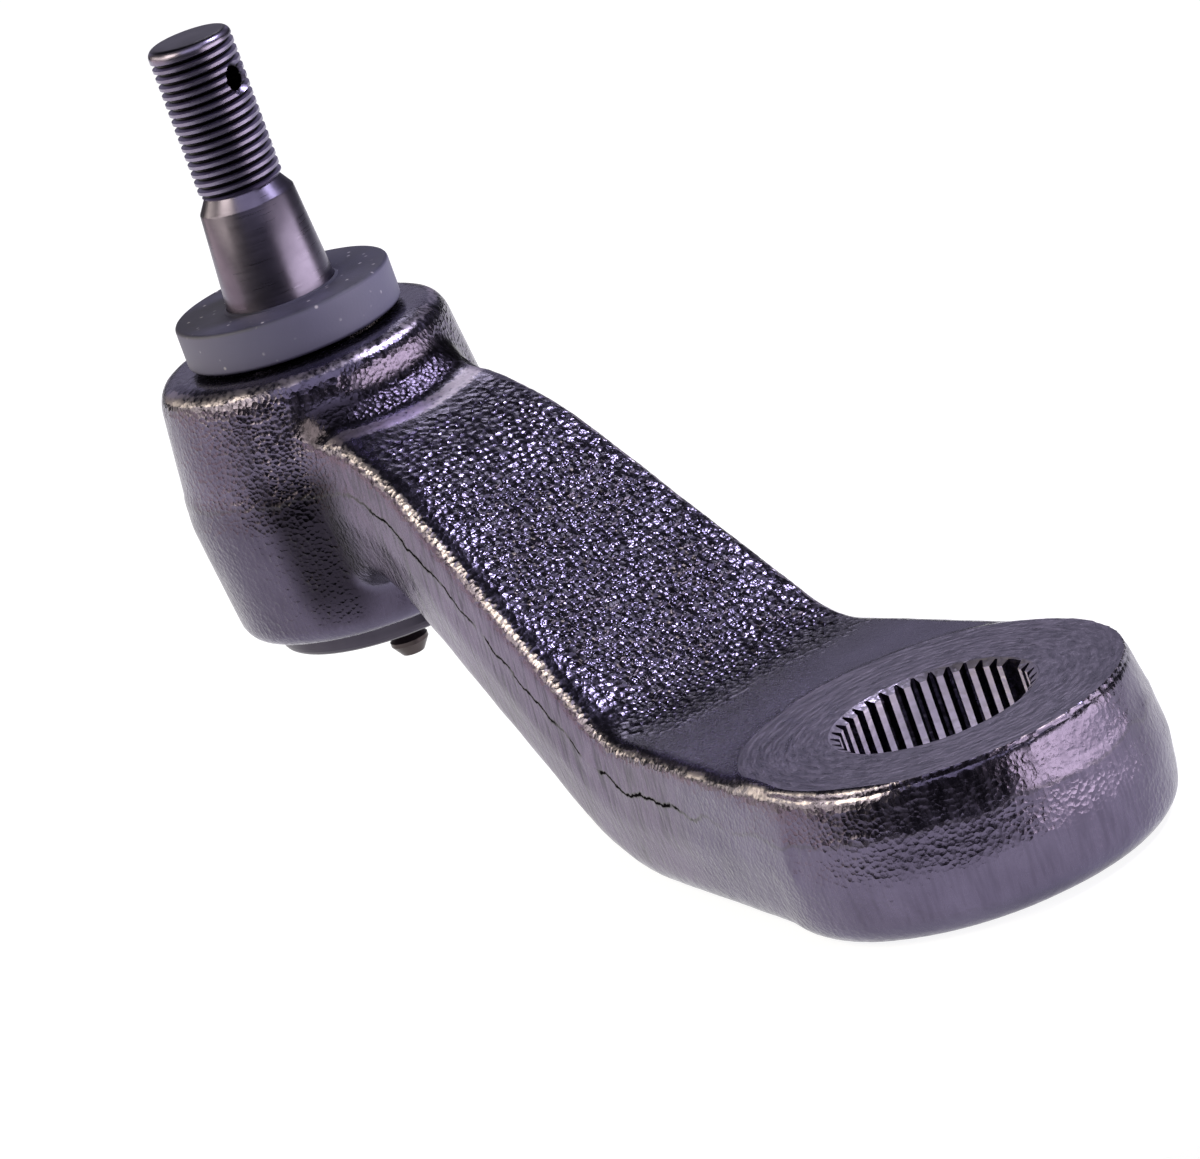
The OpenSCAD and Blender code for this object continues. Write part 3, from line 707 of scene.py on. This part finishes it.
studSet = {  # mm and degrees
    "x": jointX, "ball": jointZ, "ballR": 14, "ballSteps": 24, "flatR": 7, "neckR": 8, "neckTop": 65.8,
    "taperFoot": 68.3, "taperFootR": 9.505, "taperTop": 88.9, "taperTopR": 7.95,
    "edgeIn": 0.15, "edgeUp": 0.25, "shoulder": 2.4, "bevel": 0.6,
    "threadR": 7, "tip": 117.0, "tipRound": 1.4,
    "pitch": 1.5, "depth": 0.86, "grooveShare": 0.33, "rootFlat": 0.08, "crestOver": 0.02, "cutterOut": 0.6,
    "threadStart": 0.3, "threadStop": 1.5,  # plain lengths at the thread's two ends
    "holeR": 2, "holeDrop": 8, "holeTurn": 25, "drillLong": 24, "sink": 1.2, "sinkAt": 6.6,
}


def oilShadeShare(p, normal):  # painted shade in the thread's roots and the cross hole, and a darker end face
    s = studSet
    if p.z > s["tip"] - 0.05:
        return 0.88
    if p.z < s["taperTop"] + s["shoulder"] + 0.3:
        return 0.66  # a little darker below the thread
    reach = math.hypot(p.x - s["x"], p.y)
    return 1 - ramp(reach, s["threadR"] - s["depth"] + 0.05, s["threadR"] - 0.1)


def threadCutter():  # a V groove wound up the shank
    s = studSet
    top = s["taperTop"] + s["shoulder"]
    half = s["pitch"] * s["grooveShare"]
    root, crest, out = s["threadR"] - s["depth"], s["threadR"] + s["crestOver"], s["threadR"] + s["cutterOut"]
    groove = [(root, -s["rootFlat"]), (root, s["rootFlat"]), (crest, half),
              (out, half), (out, -half), (crest, -half)]
    bpy.ops.object.select_all(action="DESELECT")
    bpy.ops.mesh.primitive_circle_add(vertices=len(groove), radius=mm, fill_type="NOTHING")
    cutter = lastMade("threadCutter")
    for vertex, (radius, height) in zip(cutter.data.vertices, groove):
        vertex.co = (radius * mm, 0, (top + s["threadStart"] + height) * mm)
    turns = math.floor((s["tip"] - top - s["threadStop"]) / s["pitch"])
    useModifier(cutter, "SCREW", angle=math.tau, screw_offset=s["pitch"] * mm, iterations=turns,
                steps=64, render_steps=64, use_smooth_shade=False)
    bpy.ops.object.mode_set(mode="EDIT")
    bpy.ops.mesh.select_all(action="SELECT")
    bpy.ops.mesh.remove_doubles(threshold=0.0005 * mm)
    bpy.ops.mesh.select_all(action="DESELECT")
    bpy.ops.mesh.select_mode(type="EDGE")
    bpy.ops.mesh.select_non_manifold()
    bpy.ops.mesh.edge_face_add()  # closes both ends
    bpy.ops.mesh.select_all(action="SELECT")
    bpy.ops.mesh.normals_make_consistent(inside=False)
    bpy.ops.transform.translate(value=(s["x"] * mm, 0, 0))
    bpy.ops.object.mode_set(mode="OBJECT")
    return cutter


def drillStud(stud):  # the cross hole, countersunk at both mouths
    s = studSet
    a = math.radians(s["holeTurn"])
    level = (s["tip"] - s["holeDrop"]) * mm
    bpy.ops.object.select_all(action="DESELECT")
    bpy.ops.mesh.primitive_cylinder_add(vertices=32, radius=s["holeR"] * mm, depth=s["drillLong"] * mm,
                                        location=(s["x"] * mm, 0, level), rotation=(0, math.pi / 2, a))
    carve(stud, lastMade("crossDrill"))
    for end in (1, -1):
        x, y = s["x"] + end * s["sinkAt"] * math.cos(a), end * s["sinkAt"] * math.sin(a)
        bpy.ops.object.select_all(action="DESELECT")
        bpy.ops.mesh.primitive_cone_add(vertices=48, radius1=s["holeR"] * mm,
                                        radius2=(s["holeR"] + s["sink"]) * mm, depth=s["sink"] * mm,
                                        location=(x * mm, y * mm, level), rotation=(0, end * math.pi / 2, a))
        carve(stud, lastMade("countersink"))


def makeStud():
    s = studSet
    start = math.asin(s["flatR"] / s["ballR"])
    stop = math.pi - math.asin(s["neckR"] / s["ballR"])
    outline = [(0, s["ball"] - s["ballR"] * math.cos(start))]
    for i in range(s["ballSteps"] + 1):
        a = start + (stop - start) * i / s["ballSteps"]
        outline.append((s["ballR"] * math.sin(a), s["ball"] - s["ballR"] * math.cos(a)))
    top = s["taperTop"] + s["shoulder"]
    outline += [(s["neckR"], s["neckTop"]), (s["taperFootR"], s["taperFoot"]),
                (s["taperTopR"], s["taperTop"]), (s["taperTopR"] - s["edgeIn"], s["taperTop"] + s["edgeUp"]),
                (s["threadR"] - s["bevel"], top), (s["threadR"], top + s["bevel"])]
    for i in range(7):  # rounded tip
        a = math.radians(15 * i)
        inward, down = s["tipRound"] * (1 - math.cos(a)), s["tipRound"] * (1 - math.sin(a))
        outline.append((s["threadR"] - inward, s["tip"] - down))
    outline.append((0, s["tip"]))
    stud = turnProfile("threadedStud", outline, axisX=s["x"], closed=False)
    carve(stud, threadCutter())
    drillStud(stud)
    paint(stud, "oilyShade", oilShadeShare)
    dress(stud, steels["oiledTurnedSteel"], 32)
    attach(stud, "stud")
    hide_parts("ball_stud")
    print("stage: stud done,", len(stud.data.polygons), "faces")


makeStud()


# the dust seal: a moulded rubber ring

sealSet = {  # mm
    "x": jointX, "r": 18.15, "foot": 65.8, "top": 73.0, "footR": 16.2, "boreTopR": 9.26,
    "lip": 0.9, "round": 0.7,
    "lipShape": [(1.6, -0.05), (0.5, -0.35), (0, -0.1)],  # out from the bore and up from the top
    "hollow": [(10.4, 72.3), (12.7, 70), (14.5, 68)],  # room inside for the tilting stud
}


def dustyWall(p, normal):  # the outer wall is painted lighter than the top: dust, and painted light
    reach = math.hypot(p.x - sealSet["x"], p.y)
    return 0.75 * ramp(1 - abs(normal.z), 0.3, 0.9) * ramp(reach, 15, 17)


def makeSeal():
    s = sealSet
    outline = [(s["footR"], s["foot"])]
    for i in range(5):  # lower edge
        a = math.radians(-90 + 22.5 * i)
        outline.append((s["r"] - s["round"] * (1 - math.cos(a)), s["foot"] + s["round"] * (1 + math.sin(a))))
    for i in range(1, 4):  # rings up the wall
        outline.append((s["r"], s["foot"] + s["round"] + (s["top"] - s["foot"] - 2 * s["round"]) * i / 4))
    for i in range(5):  # upper edge
        a = math.radians(22.5 * i)
        outline.append((s["r"] - s["round"] * (1 - math.cos(a)), s["top"] - s["round"] * (1 - math.sin(a))))
    outline += [(s["boreTopR"] + out, s["top"] + up) for out, up in s["lipShape"]] + s["hollow"]
    seal = turnProfile("rubberSeal", outline, steps=128, axisX=s["x"])
    paint(seal, "dusty", dustyWall)
    dress(seal, rubber, 40)
    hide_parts("dust_seal")
    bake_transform(seal)
    print("stage: seal done")


makeSeal()


# finishes of the CAD nodes that stay

nodeFinish = {
    "cover_plate": "pressedSteelCover", "grease_fitting": "platedSteelNipple",
    "check_ball": "bluedSpringSteel", "check_spring": "bluedSpringSteel",
    "preload_spring": "bluedSpringSteel",
    "upper_bearing": "sinteredBronze", "lower_bearing": "sinteredBronze",
}
for name, finish in nodeFinish.items():
    nodes[name].data.materials.clear()
    nodes[name].data.materials.append(steels[finish])
print("stage: CAD nodes finished,", len(nodeFinish))


# floor, lights and camera

stageSet = {  # mm
    "floorZ": -12.82, "floorFront": 200, "floorBack": 1100, "floorHalf": 800,
    "floorColour": "#8b8b8e", "floorRough": 0.7, "floorGlow": 0.88, "roomColour": "#eceaf2", "roomGlow": 0.05,
    "camera": (-894.53, 535.26, 351.67), "right": (-0.53548585, -0.77887748, -0.32650386),
    "up": (0.06767532, -0.42493375, 0.90269118), "back": (-0.84182834, 0.4612821, 0.28025679),
    "lens": 224.605, "sensor": 36, "aim": (75, 0, 25),
}
softboxes = {  # direction, distance m, size m, strength W, colour
    "sparkLight": ((-0.235, -0.554, 0.799), 1.1, (0.24, 0.24), 9.0, "#f0ecff"),
    "warmStrip": ((0.596, 0.71, 0.375), 0.9, (1.0, 0.24), 2.4, "#fff7d2"),
    "edgeLight": ((0.16, 0.75, 0.64), 0.9, (0.46, 0.36), 3.4, "#fff7d2"),
    "backdrop": ((0.86, -0.45, 0.3), 1.6, (1.6, 0.6), 1.2, "#e6dfff"),
    "rootLight": ((0.621, -0.468, 0.629), 1.2, (0.35, 0.2), 0.8, "#fbf9ff"),
    "rightPanel": ((-0.82, -0.57, 0.08), 1.1, (1.4, 0.34), 7.5, "#fff5ee"),
    "leftCard": ((0.77, 0.64, 0.05), 1.0, (1.0, 0.16), 0.75, "#ffe7da"),
    "frontFill": ((-0.56, 0.31, 0.77), 1.4, (1.4, 0.9), 5, "#f2efff"),
}


def makeFloor(aim):
    s = stageSet
    away = -Vector((s["back"][0], s["back"][1], 0)).normalized()
    depth = s["floorFront"] + s["floorBack"]
    middle = aim + away * (depth / 2 - s["floorFront"]) * mm
    bpy.ops.object.select_all(action="DESELECT")
    bpy.ops.mesh.primitive_plane_add(size=1, location=(middle.x, middle.y, s["floorZ"] * mm),
                                     rotation=(0, 0, math.atan2(away.y, away.x)))
    floor = lastMade("paleFloor")
    floor.scale = (depth * mm, 2 * s["floorHalf"] * mm, 1)
    bpy.ops.object.transform_apply(location=True, rotation=True, scale=True)
    # white laminate that glows a little, so that it burns out to the photograph's plain white
    material, tree, shader = startMaterial("whiteTableTop")
    shader.inputs["Base Color"].default_value = hexColour(s["floorColour"])
    shader.inputs["Roughness"].default_value = s["floorRough"]
    shader.inputs["Emission Color"].default_value = (1, 1, 1, 1)
    shader.inputs["Emission Strength"].default_value = s["floorGlow"]
    floor.data.materials.append(material)


def makeLights(aim):
    for name, (way, far, size, power, colour) in softboxes.items():
        light = bpy.data.lights.new(name, "AREA")
        light.shape = "RECTANGLE"
        light.size, light.size_y = size
        light.energy = power
        light.color = hexColour(colour)[:3]
        lamp = bpy.data.objects.new(name, light)
        scene.collection.objects.link(lamp)
        way = Vector(way).normalized()
        lamp.location = aim + far * way
        lamp.rotation_euler = way.to_track_quat("Z", "Y").to_euler()
        lamp.visible_camera = False


def makeRoom():  # white to the camera, nearly dark in the mirror of the metal
    world = bpy.data.worlds.new("studio")
    scene.world = world
    world.use_nodes = True
    tree = world.node_tree
    dim = tree.nodes["Background"]
    dim.inputs["Color"].default_value = hexColour(stageSet["roomColour"])
    dim.inputs["Strength"].default_value = stageSet["roomGlow"]
    pale = addNode(tree, "Background", {"Color": (1, 1, 1, 1), "Strength": 1.0})
    seen = addNode(tree, "LightPath", out="Is Camera Ray")
    mix = addNode(tree, "MixShader", [seen, dim.outputs[0], pale])
    tree.links.new(mix, tree.nodes["World Output"].inputs["Surface"])


def makeCamera():
    s = stageSet
    camera = bpy.data.cameras.new("photoView")
    camera.sensor_width = s["sensor"]
    camera.lens = s["lens"]
    camera.clip_start, camera.clip_end = 0.05, 60
    eye = bpy.data.objects.new("photoView", camera)
    scene.collection.objects.link(eye)
    turn = Matrix((s["right"], s["up"], s["back"])).transposed().to_4x4()
    eye.matrix_world = Matrix.Translation(Vector(s["camera"]) * mm) @ turn
    scene.camera = eye
    scene.view_settings.view_transform = "Standard"


aim = Vector(stageSet["aim"]) * mm
makeFloor(aim)
makeLights(aim)
makeRoom()
makeCamera()
print("stage: floor, lights and camera set")
